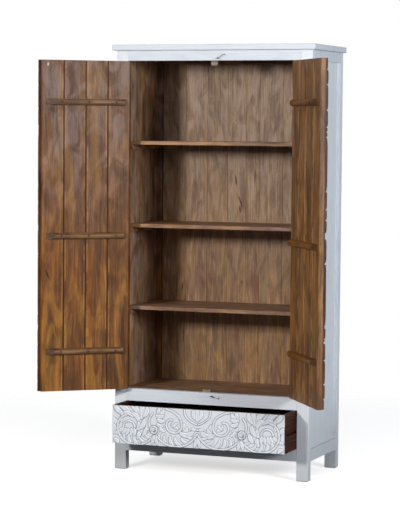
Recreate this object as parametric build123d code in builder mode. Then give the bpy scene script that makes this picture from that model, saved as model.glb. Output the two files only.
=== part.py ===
"""Tall two-door cabinet with a drawer, framed in posts and rails, doors open and drawer pulled out.

Frame: millimetres, X to the right, Y to the back, Z up. The origin is on the floor,
midway between the four posts.
"""

from build123d import *
from math import cos, radians, sin
import os

os.makedirs("parts", exist_ok=True)

# Overall sizes
height = 1800
case_width = 866
case_depth = 420
top_thickness = 24
top_side_overhang = 16
top_front_overhang = 18
top_back_inset = 4

# Frame timber
post_width = 51
post_depth = 36
front_rail_thickness = 30
side_rail_thickness = 22
top_rail_bottom = 1733
sill_top = 347
sill_height = 51.5
bottom_rail_bottom = 82.5
bottom_rail_height = 51
side_bottom_rail_height = 49
tenon_thickness = 8
tenon_length = 22
tenon_shoulder = 7
post_foot_bevel = 4
edge_round = 1.5
top_edge_round = 3

# Panels, shelves and floor
panel_thickness = 14
panel_recess = 12
panel_groove = 6
back_board_thickness = 12
back_board_seams = (-275, -173, -79, 6, 68, 173, 272)
back_board_bevel = 0.8
back_face_y = 402 - case_depth / 2
board_groove = 3
board_seam = 0.3
shelf_thickness = 15
shelf_tops = {"upper": 1396, "middle": 1045, "lower": 695}
shelf_setback = 60
floor_thickness = 16
bearer_size = 20

# Doors
door_clearance = 1
door_bottom = sill_top + 2
door_top = top_rail_bottom - 2.5
board_count = 4
board_thickness = 18
panel_border_thickness = 11.7
lap = 8
meeting_gap = 1
lap_clearance = 1
pivot_forward = 3
open_angle = {"left": 140.3, "right": 125.7}
batten_height = 26
batten_depth = 21
batten_slopes = {22: 8, 360: -42}
batten_toe = 4
batten_names = ("top", "middle", "bottom")
batten_centres = {"left": (1557, 1000, 516), "right": (1558, 989, 534)}
screw_places = (64, 183, 300)
screw_shank_radius = 1.9
screw_head_radius = 3.6
screw_head_height = 2.4

# Carving on the doors: a sunk field, open at the meeting edge, with scrolls and leaves standing in it
field_depth = 4
field_border = 22
field_end_border = 44
relief_height = 7
scroll_count = 4
scroll_points_per_turn = 8
scroll_outer = 142
scroll_inner = 52
scroll_turns = 1.25
scroll_start = -90
scroll_width = 15
scroll_eye = 14
edge_leaf_width = 15
edge_leaves = (
    (394, 447),
    (452, 542),
    (548, 607),
    (633, 672),
    (676, 928),
    (931, 1019),
    (1050, 1098),
    (1102, 1137),
    (1141, 1208),
    (1212, 1417),
    (1464, 1523),
    (1531, 1626),
    (1631, 1681),
)

# Door stops
stop_depth = 16
stop_drop = 20
stop_hold = 32
stop_round = 8
stop_height = 9

# Butt hinges
hinge_centres = (500, 1040, 1580)
knuckle_radius = 2.8
knuckle_length = 20
pin_radius = 1.2
hinge_height = 3 * knuckle_length
leaf_thickness = 0.8
leaf_width = 24
running_gap = 0.05
end_gap = 0.4

# Hooks and eyes
wire_radius = 1.2
eye_radius = 4
hook_loop_radius = 3
hook_forward = 9
eye_shank_depth = 12
hooks = {
    "top": {"pivot": (24, 1742), "rest": 32, "closed": -137, "reach": 34},
    "bottom": {"pivot": (12, 334), "rest": -16, "closed": 128, "reach": 29},
}
hook_tip = 7
tip_share = 0.6
catch_shank_depth = 6

# Drawer
drawer_out = 150
drawer_gap = 1
drawer_side_thickness = 14
drawer_front_thickness = 22
drawer_back_thickness = 12
drawer_bottom_thickness = 6
drawer_bottom_height = 12
drawer_length = 365
runner_centre = 210
runner_height = 12
runner_reach = 7
runner_clearance = 0.5
knob_places = (-194, 194)
knob_height = 200
knob_radius = 8.5
knob_rosette_radius = 14
rosette_depth = 2
knob_projection = 13
knob_stem_radius = 3.5
knob_stem_length = 10
drawer_field_depth = 3
drawer_relief_height = 5
drawer_band_width = 7
drawer_stem = (
    (0, 197),
    (36, 167),
    (77, 147),
    (125, 141),
    (166, 156),
    (192, 184),
    (212, 222),
    (216, 252),
    (200, 290),
)
drawer_scrolls = (
    {"middle": (105, 232), "outer": 48, "inner": 34, "start": 80, "turns": 0.9},
    {"middle": (300, 201), "outer": 62, "inner": 50, "start": 215, "turns": 0.85},
)
drawer_flower_radius = 27

# Derived positions
front_y = -case_depth / 2
back_y = case_depth / 2
half_width = case_width / 2
top_underside = height - top_thickness
opening_half = half_width - post_width
panel_inner_x = half_width - panel_recess - panel_thickness
pivot_x = opening_half - door_clearance
pivot_y = front_y - pivot_forward
inner_face = pivot_forward + panel_border_thickness + board_thickness
layer_plane = pivot_forward + panel_border_thickness
sill_bottom = sill_top - sill_height
bottom_rail_top = bottom_rail_bottom + bottom_rail_height
side_bottom_rail_top = bottom_rail_bottom + side_bottom_rail_height
sides = {"left": -1, "right": 1}


def save(part, label):
    part.label = label
    export_step(part, f"parts/{label}.step")


def box_between(x_range, y_range, z_range, mode=Mode.ADD):
    """A block between two corners, made in the part that is being built."""
    low = (min(x_range), min(y_range), min(z_range))
    with Locations(low):
        Box(
            abs(x_range[1] - x_range[0]),
            abs(y_range[1] - y_range[0]),
            abs(z_range[1] - z_range[0]),
            align=(Align.MIN, Align.MIN, Align.MIN),
            mode=mode,
        )


# The top: one board, rounded on its upper and lower edges.
with BuildPart() as top_board:
    box_between(
        (-half_width - top_side_overhang, half_width + top_side_overhang),
        (front_y - top_front_overhang, back_y - top_back_inset),
        (top_underside, height),
    )
    fillet(top_board.edges().filter_by(Axis.Z), top_edge_round)
    fillet(top_board.faces().sort_by(Axis.Z)[-1].edges(), top_edge_round)
    fillet(top_board.faces().sort_by(Axis.Z)[0].edges(), top_edge_round)
save(top_board.part, "top_board")

# Rails that run across, as (bottom, top) heights, and the ones that run back to front.
cross_rails = {
    "top_rail_front": (front_y, front_rail_thickness, top_rail_bottom, top_underside),
    "sill_rail": (front_y, front_rail_thickness, sill_bottom, sill_top),
    "bottom_rail_front": (front_y, front_rail_thickness, bottom_rail_bottom, bottom_rail_top),
    "top_rail_back": (
        back_face_y - side_rail_thickness,
        side_rail_thickness,
        top_rail_bottom,
        top_underside,
    ),
    "bottom_rail_back": (
        back_face_y - side_rail_thickness,
        side_rail_thickness,
        bottom_rail_bottom,
        side_bottom_rail_top,
    ),
}
side_rails = {
    "side_top_rail": (top_rail_bottom + 1, top_underside),
    "side_bottom_rail": (bottom_rail_bottom, side_bottom_rail_top),
}
side_rail_x = half_width - side_rail_thickness / 2


def tenon_heights(low, high):
    return low + tenon_shoulder, high - tenon_shoulder


eye_rails = {"top_rail_front": "top", "sill_rail": "bottom"}
for label, (rail_front, thickness, low, high) in cross_rails.items():
    middle = rail_front + thickness / 2
    reach = opening_half + tenon_length
    with BuildPart() as cross_rail:
        box_between((-opening_half, opening_half), (rail_front, rail_front + thickness), (low, high))
        box_between(
            (-reach, reach),
            (middle - tenon_thickness / 2, middle + tenon_thickness / 2),
            tenon_heights(low, high),
        )
        if label in eye_rails:
            across, up = hooks[eye_rails[label]]["pivot"]
            with BuildSketch(Plane((across - eye_radius, front_y, up), z_dir=(0, 1, 0))):
                Circle(wire_radius)
            extrude(amount=eye_shank_depth, mode=Mode.SUBTRACT)
    save(cross_rail.part, label)

rail_span = back_y - post_depth
for side, sign in sides.items():
    for label, (low, high) in side_rails.items():
        with BuildPart() as side_rail:
            box_between(
                (sign * (half_width - side_rail_thickness), sign * half_width),
                (-rail_span, rail_span),
                (low, high),
            )
            box_between(
                (sign * (side_rail_x - tenon_thickness / 2), sign * (side_rail_x + tenon_thickness / 2)),
                (-rail_span - tenon_length, rail_span + tenon_length),
                tenon_heights(low, high),
            )
            # The groove that holds the edge of the side panel.
            groove_edge = low if label == "side_top_rail" else high
            box_between(
                (sign * panel_inner_x, sign * (panel_inner_x + panel_thickness)),
                (-rail_span, rail_span),
                (groove_edge - panel_groove, groove_edge + panel_groove),
                mode=Mode.SUBTRACT,
            )
        save(side_rail.part, f"{label}_{side}")

# Posts: mortises for every rail, a groove for the side panel and a bevelled foot.
for side, sign in sides.items():
    for end, facing in {"front": -1, "back": 1}.items():
        post_inner_y = facing * (back_y - post_depth)
        with BuildPart() as post:
            box_between(
                (sign * opening_half, sign * half_width),
                (post_inner_y, facing * back_y),
                (0, top_underside),
            )
            chamfer(post.faces().sort_by(Axis.Z)[0].edges(), post_foot_bevel)
            fillet(post.edges().filter_by(Axis.Z), edge_round)
            for rail_front, thickness, low, high in cross_rails.values():
                middle = rail_front + thickness / 2
                if middle * facing > 0:
                    box_between(
                        (sign * opening_half, sign * (opening_half + tenon_length)),
                        (middle - tenon_thickness / 2, middle + tenon_thickness / 2),
                        tenon_heights(low, high),
                        mode=Mode.SUBTRACT,
                    )
            for low, high in side_rails.values():
                box_between(
                    (
                        sign * (side_rail_x - tenon_thickness / 2),
                        sign * (side_rail_x + tenon_thickness / 2),
                    ),
                    (post_inner_y, post_inner_y + facing * tenon_length),
                    tenon_heights(low, high),
                    mode=Mode.SUBTRACT,
                )
            box_between(
                (sign * panel_inner_x, sign * (panel_inner_x + panel_thickness)),
                (post_inner_y, post_inner_y + facing * panel_groove),
                (side_bottom_rail_top, side_rails["side_top_rail"][0]),
                mode=Mode.SUBTRACT,
            )
        save(post.part, f"post_{end}_{side}")

# Side panels: their edges sit in the grooves of the posts and rails.
panel_low = side_bottom_rail_top
panel_high = side_rails["side_top_rail"][0]
panel_middle = (panel_low + panel_high) / 2
for side, sign in sides.items():
    with BuildPart() as side_panel:
        with BuildSketch(Plane.YZ.offset(min(sign * panel_inner_x, sign * (panel_inner_x + panel_thickness)))):
            with Locations((0, panel_middle)):
                Rectangle(2 * (rail_span + panel_groove), panel_high - panel_low)
                Rectangle(2 * rail_span, panel_high - panel_low + 2 * panel_groove)
        extrude(amount=panel_thickness)
    save(side_panel.part, f"side_panel_{side}")

# Back: upright boards of unequal width in a row, flush, with their edges just broken on the inside.
back_seams = (-opening_half, *back_board_seams, opening_half + board_seam)
with BuildPart() as back_boards:
    with BuildSketch(Plane.XY.offset(bottom_rail_bottom)):
        for left, next_left in zip(back_seams, back_seams[1:]):
            right = next_left - board_seam
            with BuildLine():
                Polyline(
                    (left, back_face_y + back_board_thickness),
                    (left, back_face_y + back_board_bevel),
                    (left + back_board_bevel, back_face_y),
                    (right - back_board_bevel, back_face_y),
                    (right, back_face_y + back_board_bevel),
                    (right, back_face_y + back_board_thickness),
                    close=True,
                )
            make_face()
    extrude(amount=top_underside - bottom_rail_bottom)
save(back_boards.part, "back_boards")


def notched_board(front, label, top, thickness):
    """A board from side panel to side panel, cut around the posts that it meets."""
    with BuildPart() as board:
        with BuildSketch(Plane.XY.offset(top - thickness)):
            with Locations((0, (front + back_face_y) / 2)):
                Rectangle(2 * opening_half, back_face_y - front)
            wide_front = max(front, -rail_span)
            with Locations((0, (wide_front + rail_span) / 2)):
                Rectangle(2 * panel_inner_x, rail_span - wide_front)
        extrude(amount=thickness)
    save(board.part, label)


notched_board(front_y + front_rail_thickness, "cupboard_floor", sill_top, floor_thickness)
for name, shelf_top in shelf_tops.items():
    notched_board(front_y + shelf_setback, f"shelf_{name}", shelf_top, shelf_thickness)

# Bearers: strips along the side panels, one under each end of every shelf and of the floor.
bearer_tops = [top - shelf_thickness for top in shelf_tops.values()] + [sill_top - floor_thickness]
for side, sign in sides.items():
    with BuildPart() as bearers:
        for bearer_top in bearer_tops:
            box_between(
                (sign * (panel_inner_x - bearer_size), sign * panel_inner_x),
                (front_y + shelf_setback, rail_span),
                (bearer_top - bearer_size, bearer_top),
            )
    save(bearers.part, f"shelf_bearers_{side}")

# Runners: a strip between the posts, with a tongue that enters the groove of the drawer side.
drawer_half = opening_half - 2 * drawer_gap
runner_tip = drawer_half - runner_reach + runner_clearance
for side, sign in sides.items():
    with BuildPart() as runner:
        box_between(
            (sign * opening_half, sign * panel_inner_x),
            (-rail_span, rail_span),
            (runner_centre - runner_height, runner_centre + runner_height),
        )
        box_between(
            (sign * runner_tip, sign * opening_half),
            (front_y + front_rail_thickness, rail_span),
            (runner_centre - runner_height / 2, runner_centre + runner_height / 2),
        )
    save(runner.part, f"drawer_runner_{side}")

# Door stops: a block behind the top rail and one on the cupboard floor, both just behind the doors.
stop_front = front_y + front_rail_thickness
stop_back = stop_front + stop_depth
with BuildPart() as stop_top:
    box_between(
        (-20, 8),
        (stop_front, stop_back),
        (top_rail_bottom - stop_drop, top_rail_bottom + stop_hold),
    )
    fillet(stop_top.faces().sort_by(Axis.Z)[0].edges().filter_by(Axis.Y), stop_round)
save(stop_top.part, "door_stop_top")

with BuildPart() as stop_bottom:
    box_between((-46, -10), (stop_front, stop_back), (sill_top, sill_top + stop_height))
    fillet(stop_bottom.faces().sort_by(Axis.Z)[-1].edges().filter_by(Axis.Y), stop_height / 2)
save(stop_bottom.part, "door_stop_bottom")


# Doors. Along the door is measured from the hinge line, and depth from its axis towards
# the inner face. Both are turned to the open angle by one plane for each door.
def door_plane(side, level=0):
    sign = sides[side]
    turn = radians(open_angle[side])
    return Plane(
        origin=(sign * pivot_x, pivot_y, level),
        x_dir=(cos(turn), sign * sin(turn), 0),
        z_dir=(0, 0, 1),
    )


def depth_rectangle(side, start, end, shallow, deep):
    """A rectangle on the door's plane, from start to end along it."""
    sign = sides[side]
    with Locations((-sign * (start + end) / 2, (shallow + deep) / 2)):
        Rectangle(end - start, deep - shallow)


half_opening = pivot_x
board_end = half_opening - meeting_gap
outer_end = {"left": half_opening + lap, "right": half_opening - lap - 2 * meeting_gap}
screw_seat = batten_depth - screw_head_height
batten_flank = batten_depth - batten_height / 2
batten_inset, batten_end = batten_slopes
door_middle = half_opening / 2
door_height = door_top - door_bottom
scroll_spacing = door_height / scroll_count
scroll_levels = [door_bottom + scroll_spacing * (number + 0.5) for number in range(scroll_count)]


def scroll_line(middle, outer, inner, start, turns):
    """A spline that winds in around a middle, from the outer radius to the inner one."""
    count = round(scroll_points_per_turn * abs(turns))
    points = []
    for number in range(count + 1):
        share = number / count
        angle = radians(start + 360 * turns * share)
        radius = outer + (inner - outer) * share
        points.append((middle[0] + radius * cos(angle), middle[1] + radius * sin(angle)))
    Spline(*points)


def inner_plane(side, place, level):
    """A plane on the boards' inner face, looking out of it."""
    door = door_plane(side, level)
    return Plane(door.from_local_coords((-sides[side] * place, inner_face, 0)), z_dir=door.y_dir)


def door_face_plane(side):
    """The plane of the door's outer border, across and up the door, looking outwards."""
    door = door_plane(side)
    return Plane(door.from_local_coords((0, pivot_forward, 0)), x_dir=door.x_dir, z_dir=-door.y_dir)


def heading(degrees):
    """The unit direction at an angle on the front of the cabinet, 0 to the right and 90 up."""
    return Vector(cos(radians(degrees)), 0, sin(radians(degrees)))


def catch_place(hook):
    """Where a closed hook's tip is on the left door, and the way it points, both in the open pose."""
    turn_sign = 1 if hook["closed"] > hook["rest"] else -1
    tip_way = heading(hook["closed"] + 90 * turn_sign)
    across, up = hook["pivot"]
    closed_tip = (
        Vector(across + pivot_x, pivot_forward - hook_forward, up)
        + heading(hook["closed"]) * hook["reach"]
        + tip_way * (hook_tip * tip_share)
    )
    door = door_plane("left")
    return door.from_local_coords(closed_tip), door.x_dir * tip_way.X + door.z_dir * tip_way.Z


def batten_plane(side, level):
    """A plane across a batten at the end that is next to the hinges, looking along it."""
    door = door_plane(side, level)
    sign = sides[side]
    return Plane(
        door.from_local_coords((-sign * batten_inset, inner_face, 0)),
        x_dir=(0, 0, sign),
        z_dir=-sign * door.x_dir,
    )


for side, sign in sides.items():
    # Four upright boards with a V along each joint of the inner face.
    board_pitch = (board_end - door_clearance + board_seam) / board_count
    with BuildPart() as boards:
        with BuildSketch(door_plane(side, door_bottom)):
            for number in range(board_count):
                start = door_clearance + number * board_pitch
                end = start + board_pitch - board_seam
                with BuildLine():
                    Polyline(
                        (-sign * start, layer_plane),
                        (-sign * start, inner_face - board_groove),
                        (-sign * (start + board_groove), inner_face),
                        (-sign * (end - board_groove), inner_face),
                        (-sign * end, inner_face - board_groove),
                        (-sign * end, layer_plane),
                        close=True,
                    )
                make_face()
        extrude(amount=door_height)
        for centre in batten_centres[side]:
            for place in screw_places:
                with BuildSketch(inner_plane(side, place, centre)):
                    Circle(screw_shank_radius)
                extrude(amount=-board_thickness / 2, mode=Mode.SUBTRACT)
    save(boards.part, f"door_boards_{side}")

    # The outer layer: a panel with a sunk field, in which spiral scrolls and half leaves stand.
    # The left one laps over the right one where the doors meet.
    with BuildPart() as carved_panel:
        with BuildSketch(door_plane(side, door_bottom)):
            depth_rectangle(side, door_clearance, outer_end[side], pivot_forward, layer_plane)
        extrude(amount=door_height)
        if side == "left":
            with BuildSketch(door_plane(side, door_bottom)):
                depth_rectangle(side, board_end, outer_end[side], layer_plane - lap_clearance, layer_plane)
            extrude(amount=door_height, mode=Mode.SUBTRACT)
        field_width = outer_end[side] - field_border
        field_middle = (-sign * (field_border + outer_end[side]) / 2, (door_bottom + door_top) / 2)
        with BuildSketch(door_face_plane(side)):
            with Locations(field_middle):
                Rectangle(field_width, door_height - 2 * field_end_border)
        extrude(amount=-field_depth, mode=Mode.SUBTRACT)
        with BuildSketch(door_face_plane(side).offset(-field_depth)):
            for number, level in enumerate(scroll_levels):
                middle = (-sign * door_middle, level)
                with BuildLine():
                    turns = -sign * scroll_turns * (-1) ** number
                    scroll_line(middle, scroll_outer, scroll_inner, scroll_start, turns)
                trace(line_width=scroll_width)
                with Locations(middle):
                    Circle(scroll_eye)
            # Leaves along the meeting edge, cut in half by it.
            for low, high in edge_leaves:
                with Locations((-sign * outer_end[side], (low + high) / 2)):
                    Ellipse(edge_leaf_width, (high - low) / 2)
            with Locations(field_middle):
                Rectangle(field_width, door_height, mode=Mode.INTERSECT)
        extrude(amount=relief_height)
        if side == "left":
            for hook in hooks.values():
                with BuildSketch(Plane(catch_place(hook)[0], z_dir=door_plane(side).y_dir)):
                    Circle(wire_radius)
                extrude(amount=hook_forward + catch_shank_depth, mode=Mode.SUBTRACT)
    save(carved_panel.part, f"carved_panel_{side}")

    # Battens: half-round bars screwed across the boards, sloped down at both ends.
    for name, centre in zip(batten_names, batten_centres[side]):
        with BuildPart() as batten:
            with BuildSketch(batten_plane(side, centre)):
                with BuildLine():
                    Line((-batten_height / 2, 0), (batten_height / 2, 0))
                    Line((batten_height / 2, 0), (batten_height / 2, batten_flank))
                    ThreePointArc(
                        (batten_height / 2, batten_flank),
                        (0, batten_depth),
                        (-batten_height / 2, batten_flank),
                    )
                    Line((-batten_height / 2, batten_flank), (-batten_height / 2, 0))
                make_face()
            extrude(amount=batten_end - batten_inset)
            # Both ends slope back to the boards.
            with BuildSketch(door_plane(side, centre - batten_height)):
                for end, slope in batten_slopes.items():
                    with BuildLine():
                        Polyline(
                            (-sign * end, inner_face + batten_toe),
                            (-sign * end, inner_face + batten_depth + 1),
                            (-sign * (end + slope), inner_face + batten_depth + 1),
                            close=True,
                        )
                    make_face()
            extrude(amount=2 * batten_height, mode=Mode.SUBTRACT)
            for place in screw_places:
                with BuildSketch(inner_plane(side, place, centre)):
                    Circle(screw_shank_radius)
                extrude(amount=batten_depth + 1, mode=Mode.SUBTRACT)
                with BuildSketch(inner_plane(side, place, centre).offset(screw_seat)):
                    Circle(screw_head_radius)
                extrude(amount=batten_depth, mode=Mode.SUBTRACT)
        save(batten.part, f"batten_{name}_{side}")

    # Round-headed screws, three in each batten.
    with BuildPart() as screws:
        for centre in batten_centres[side]:
            for place in screw_places:
                with BuildSketch(inner_plane(side, place, centre).offset(-board_thickness / 2)):
                    Circle(screw_shank_radius)
                extrude(amount=board_thickness / 2 + screw_seat)
                with BuildSketch(inner_plane(side, place, centre).offset(screw_seat)):
                    Circle(screw_head_radius)
                extrude(amount=screw_head_height)
    save(screws.part, f"door_screws_{side}")

    # Butt hinges: one leaf on the post, with the outer knuckles, and one on the door's edge.
    with BuildPart() as case_leaves:
        for centre in hinge_centres:
            box_between(
                (sign * opening_half, sign * (opening_half - leaf_thickness)),
                (pivot_y, pivot_y + leaf_width),
                (centre - hinge_height / 2, centre + hinge_height / 2),
            )
            for bottom in (centre - hinge_height / 2, centre + hinge_height / 2 - knuckle_length):
                with BuildSketch(Plane.XY.offset(bottom)):
                    with Locations((sign * pivot_x, pivot_y)):
                        Circle(knuckle_radius)
                extrude(amount=knuckle_length)
            # The middle of the hinge is left open for the door's knuckle.
            with BuildSketch(Plane.XY.offset(centre - knuckle_length / 2 - end_gap)):
                with Locations((sign * pivot_x, pivot_y)):
                    Circle(knuckle_radius + end_gap)
            extrude(amount=knuckle_length + 2 * end_gap, mode=Mode.SUBTRACT)
            with BuildSketch(Plane.XY.offset(centre - hinge_height / 2)):
                with Locations((sign * pivot_x, pivot_y)):
                    Circle(pin_radius)
            extrude(amount=hinge_height, mode=Mode.SUBTRACT)
    save(case_leaves.part, f"hinge_post_leaves_{side}")

    with BuildPart() as pins:
        for centre in hinge_centres:
            with BuildSketch(Plane.XY.offset(centre - hinge_height / 2)):
                with Locations((sign * pivot_x, pivot_y)):
                    Circle(pin_radius)
            extrude(amount=hinge_height)
    save(pins.part, f"hinge_pins_{side}")

    with BuildPart() as door_leaves:
        for centre in hinge_centres:
            with BuildSketch(door_plane(side, centre - hinge_height / 2)):
                depth_rectangle(side, door_clearance - leaf_thickness, door_clearance, 0, leaf_width)
            extrude(amount=hinge_height)
            for bottom in (centre - hinge_height / 2, centre + hinge_height / 2 - knuckle_length):
                with BuildSketch(door_plane(side, bottom - end_gap)):
                    Circle(knuckle_radius + end_gap)
                extrude(amount=knuckle_length + 2 * end_gap, mode=Mode.SUBTRACT)
            with BuildSketch(door_plane(side, centre - knuckle_length / 2 + end_gap)):
                Circle(knuckle_radius)
            extrude(amount=knuckle_length - 2 * end_gap)
            with BuildSketch(door_plane(side, centre - hinge_height / 2)):
                Circle(pin_radius + running_gap)
            extrude(amount=hinge_height, mode=Mode.SUBTRACT)
    save(door_leaves.part, f"hinge_door_leaves_{side}")

# Hooks: each turns on a screw eye in the case and its bent tip drops into an eye on the left door.
hook_y = front_y - hook_forward
for name, hook in hooks.items():
    pivot = Vector(hook["pivot"][0], hook_y, hook["pivot"][1])
    along = heading(hook["rest"])
    turn_sign = 1 if hook["closed"] > hook["rest"] else -1
    across = heading(hook["rest"] + 90 * turn_sign)
    loop_end = pivot + along * hook_loop_radius
    bend = pivot + along * hook["reach"]
    with BuildPart() as wire_hook:
        with BuildLine() as centre_line:
            FilletPolyline(loop_end, bend, bend + across * hook_tip, radius=2 * wire_radius)
        with BuildSketch(Plane(loop_end, z_dir=along)):
            Circle(wire_radius)
        sweep(path=centre_line.wires()[0])
        with Locations(Plane(pivot, z_dir=(0, 1, 0))):
            Torus(hook_loop_radius, wire_radius)
    save(wire_hook.part, f"hook_{name}")

    # The screw eye in the rail lies flat, and the hook's loop runs round its right side.
    eye_centre = pivot - Vector(eye_radius, 0, 0)
    with BuildPart() as screw_eye:
        with Locations(Plane(eye_centre)):
            Torus(eye_radius, wire_radius)
        with BuildSketch(Plane(eye_centre + Vector(0, eye_radius, 0), z_dir=(0, 1, 0))):
            Circle(wire_radius)
        extrude(amount=hook_forward - eye_radius + eye_shank_depth)
    save(screw_eye.part, f"hook_eye_{name}")

# Catch eyes on the outer face of the left door, each standing where a hook's tip comes to rest.
inward = door_plane("left").y_dir
with BuildPart() as catch_eyes:
    for hook in hooks.values():
        eye_middle, eye_axis = catch_place(hook)
        with Locations(Plane(eye_middle, z_dir=eye_axis)):
            Torus(eye_radius, wire_radius)
        with BuildSketch(Plane(eye_middle + inward * eye_radius, z_dir=inward)):
            Circle(wire_radius)
        extrude(amount=hook_forward - eye_radius + catch_shank_depth)
save(catch_eyes.part, "catch_eyes_left")

# Drawer: a box on side grooves, pulled out to the front.
drawer_front_y = front_y - drawer_out
box_front_y = drawer_front_y + drawer_front_thickness
box_back_y = box_front_y + drawer_length
drawer_low = bottom_rail_top + drawer_gap
drawer_high = sill_bottom - drawer_gap
inside_half = drawer_half - drawer_side_thickness
bottom_low = drawer_low + drawer_bottom_height
bottom_high = bottom_low + drawer_bottom_thickness
bottom_housing = drawer_side_thickness / 2
drawer_face = Plane((0, drawer_front_y, 0), x_dir=(1, 0, 0), z_dir=(0, -1, 0))
knob_spots = [(across, knob_height) for across in knob_places]

with BuildPart() as drawer_front:
    box_between(
        (-drawer_half, drawer_half),
        (drawer_front_y + drawer_field_depth, box_front_y),
        (drawer_low, drawer_high),
    )
    # The face is sunk all over. Stems, volutes and flowers stand up from it in mirrored pairs.
    with BuildSketch(drawer_face.offset(-drawer_field_depth)):
        with BuildLine():
            Spline(*drawer_stem)
        trace(line_width=drawer_band_width)
        for scroll in drawer_scrolls:
            with BuildLine():
                scroll_line(**scroll)
            trace(line_width=drawer_band_width)
        with Locations(drawer_scrolls[-1]["middle"]):
            Circle(drawer_flower_radius)
        mirror(about=Plane.YZ)
        with Locations((0, (drawer_low + drawer_high) / 2)):
            Rectangle(2 * drawer_half, drawer_high - drawer_low, mode=Mode.INTERSECT)
    extrude(amount=drawer_relief_height)
    box_between(
        (-inside_half - bottom_housing, inside_half + bottom_housing),
        (box_front_y - bottom_housing, box_front_y),
        (bottom_low, bottom_high),
        mode=Mode.SUBTRACT,
    )
    with BuildSketch(drawer_face):
        with Locations(*knob_spots):
            Circle(knob_rosette_radius)
    extrude(amount=-rosette_depth, mode=Mode.SUBTRACT)
    with BuildSketch(drawer_face):
        with Locations(*knob_spots):
            Circle(knob_stem_radius)
    extrude(amount=-knob_stem_length, mode=Mode.SUBTRACT)
save(drawer_front.part, "drawer_front")

for side, sign in sides.items():
    with BuildPart() as drawer_side:
        box_between(
            (sign * inside_half, sign * drawer_half),
            (box_front_y, box_back_y),
            (drawer_low, drawer_high),
        )
        # The groove that the runner enters, open at the back.
        box_between(
            (sign * (drawer_half - runner_reach), sign * drawer_half),
            (box_front_y, box_back_y),
            (
                runner_centre - runner_height / 2 - runner_clearance,
                runner_centre + runner_height / 2 + runner_clearance,
            ),
            mode=Mode.SUBTRACT,
        )
        box_between(
            (sign * inside_half, sign * (inside_half + bottom_housing - 1)),
            (box_front_y, box_back_y),
            (bottom_low, bottom_high),
            mode=Mode.SUBTRACT,
        )
    save(drawer_side.part, f"drawer_side_{side}")

with BuildPart() as drawer_back:
    box_between(
        (-inside_half, inside_half),
        (box_back_y - drawer_back_thickness, box_back_y),
        (bottom_high, drawer_high),
    )
save(drawer_back.part, "drawer_back")

with BuildPart() as drawer_bottom:
    box_between(
        (-inside_half - bottom_housing + 1, inside_half + bottom_housing - 1),
        (box_front_y - bottom_housing, box_back_y),
        (bottom_low, bottom_high),
    )
save(drawer_bottom.part, "drawer_bottom")

# Knobs: small turned mushrooms on stems.
with BuildPart() as knobs:
    for across, up in knob_spots:
        with BuildSketch(Plane((across, drawer_front_y, up), x_dir=(1, 0, 0), z_dir=(0, 0, 1))):
            with BuildLine():
                Polyline(
                    (knob_radius - 2, -knob_projection + 5),
                    (knob_stem_radius, -knob_projection + 7),
                    (knob_stem_radius, knob_stem_length),
                    (0, knob_stem_length),
                    (0, -knob_projection),
                )
                ThreePointArc(
                    (0, -knob_projection),
                    (knob_radius * 0.8, -knob_projection + 2),
                    (knob_radius - 2, -knob_projection + 5),
                )
            make_face()
        revolve(axis=Axis((across, drawer_front_y, up), (0, 1, 0)))
save(knobs.part, "drawer_knobs")
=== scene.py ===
# A tall plank cabinet of mango wood, lime washed outside and oiled inside, with carved doors and drawer.
import cmath
import math

import bmesh
import bpy
import numpy as np
from mathutils import Matrix, Vector


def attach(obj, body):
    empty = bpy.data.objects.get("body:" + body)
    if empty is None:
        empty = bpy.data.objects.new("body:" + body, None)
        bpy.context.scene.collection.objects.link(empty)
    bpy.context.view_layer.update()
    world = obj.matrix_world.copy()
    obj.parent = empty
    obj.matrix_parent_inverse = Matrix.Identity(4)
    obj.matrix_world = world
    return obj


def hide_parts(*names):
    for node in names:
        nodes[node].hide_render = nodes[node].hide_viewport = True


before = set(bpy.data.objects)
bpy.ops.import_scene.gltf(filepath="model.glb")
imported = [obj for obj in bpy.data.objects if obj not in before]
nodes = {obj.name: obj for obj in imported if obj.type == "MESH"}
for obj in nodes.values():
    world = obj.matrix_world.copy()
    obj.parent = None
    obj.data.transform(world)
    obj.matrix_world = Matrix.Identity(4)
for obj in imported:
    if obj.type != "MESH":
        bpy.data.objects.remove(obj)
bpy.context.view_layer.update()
scene = bpy.context.scene
mm = 0.001
print("frame loaded:", len(nodes), "nodes")


def linear(hexColour):
    # sRGB hex to the linear values that a socket takes
    parts = [int(hexColour[i:i + 2], 16) / 255 for i in (1, 3, 5)]
    return [c / 12.92 if c <= 0.04045 else ((c + 0.055) / 1.055) ** 2.4 for c in parts] + [1]


def addNode(tree, kind, settings, *inputs, **named):
    # Inputs fill the live sockets from the top, and named ones go by name (_ for a space). Each is a value,
    # a hex colour or another node's socket. Gives back the node's first live output.
    node = tree.nodes.new("ShaderNode" + kind)
    for key, value in settings.items():
        setattr(node, key, value)
    live = [socket for socket in node.inputs if socket.enabled]
    pairs = list(zip(live, inputs))
    pairs += [(node.inputs[key.replace("_", " ")], value) for key, value in named.items()]
    for socket, value in pairs:
        if isinstance(value, bpy.types.NodeSocket):
            tree.links.new(value, socket)
        else:
            socket.default_value = linear(value) if isinstance(value, str) else value
    return next((socket for socket in node.outputs if socket.enabled), None)


# node settings that come up again and again
add, subtract, multiply, multiplyAdd, divide = (
    {"operation": name} for name in ("ADD", "SUBTRACT", "MULTIPLY", "MULTIPLY_ADD", "DIVIDE"))
greater, less, absolute, least = (
    {"operation": name} for name in ("GREATER_THAN", "LESS_THAN", "ABSOLUTE", "MINIMUM"))
measure = {"operation": "LENGTH"}
smooth, straight = {"interpolation_type": "SMOOTHSTEP"}, {"interpolation_type": "LINEAR"}
blend, stain = ({"data_type": "RGBA", "blend_type": name} for name in ("MIX", "MULTIPLY"))


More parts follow.
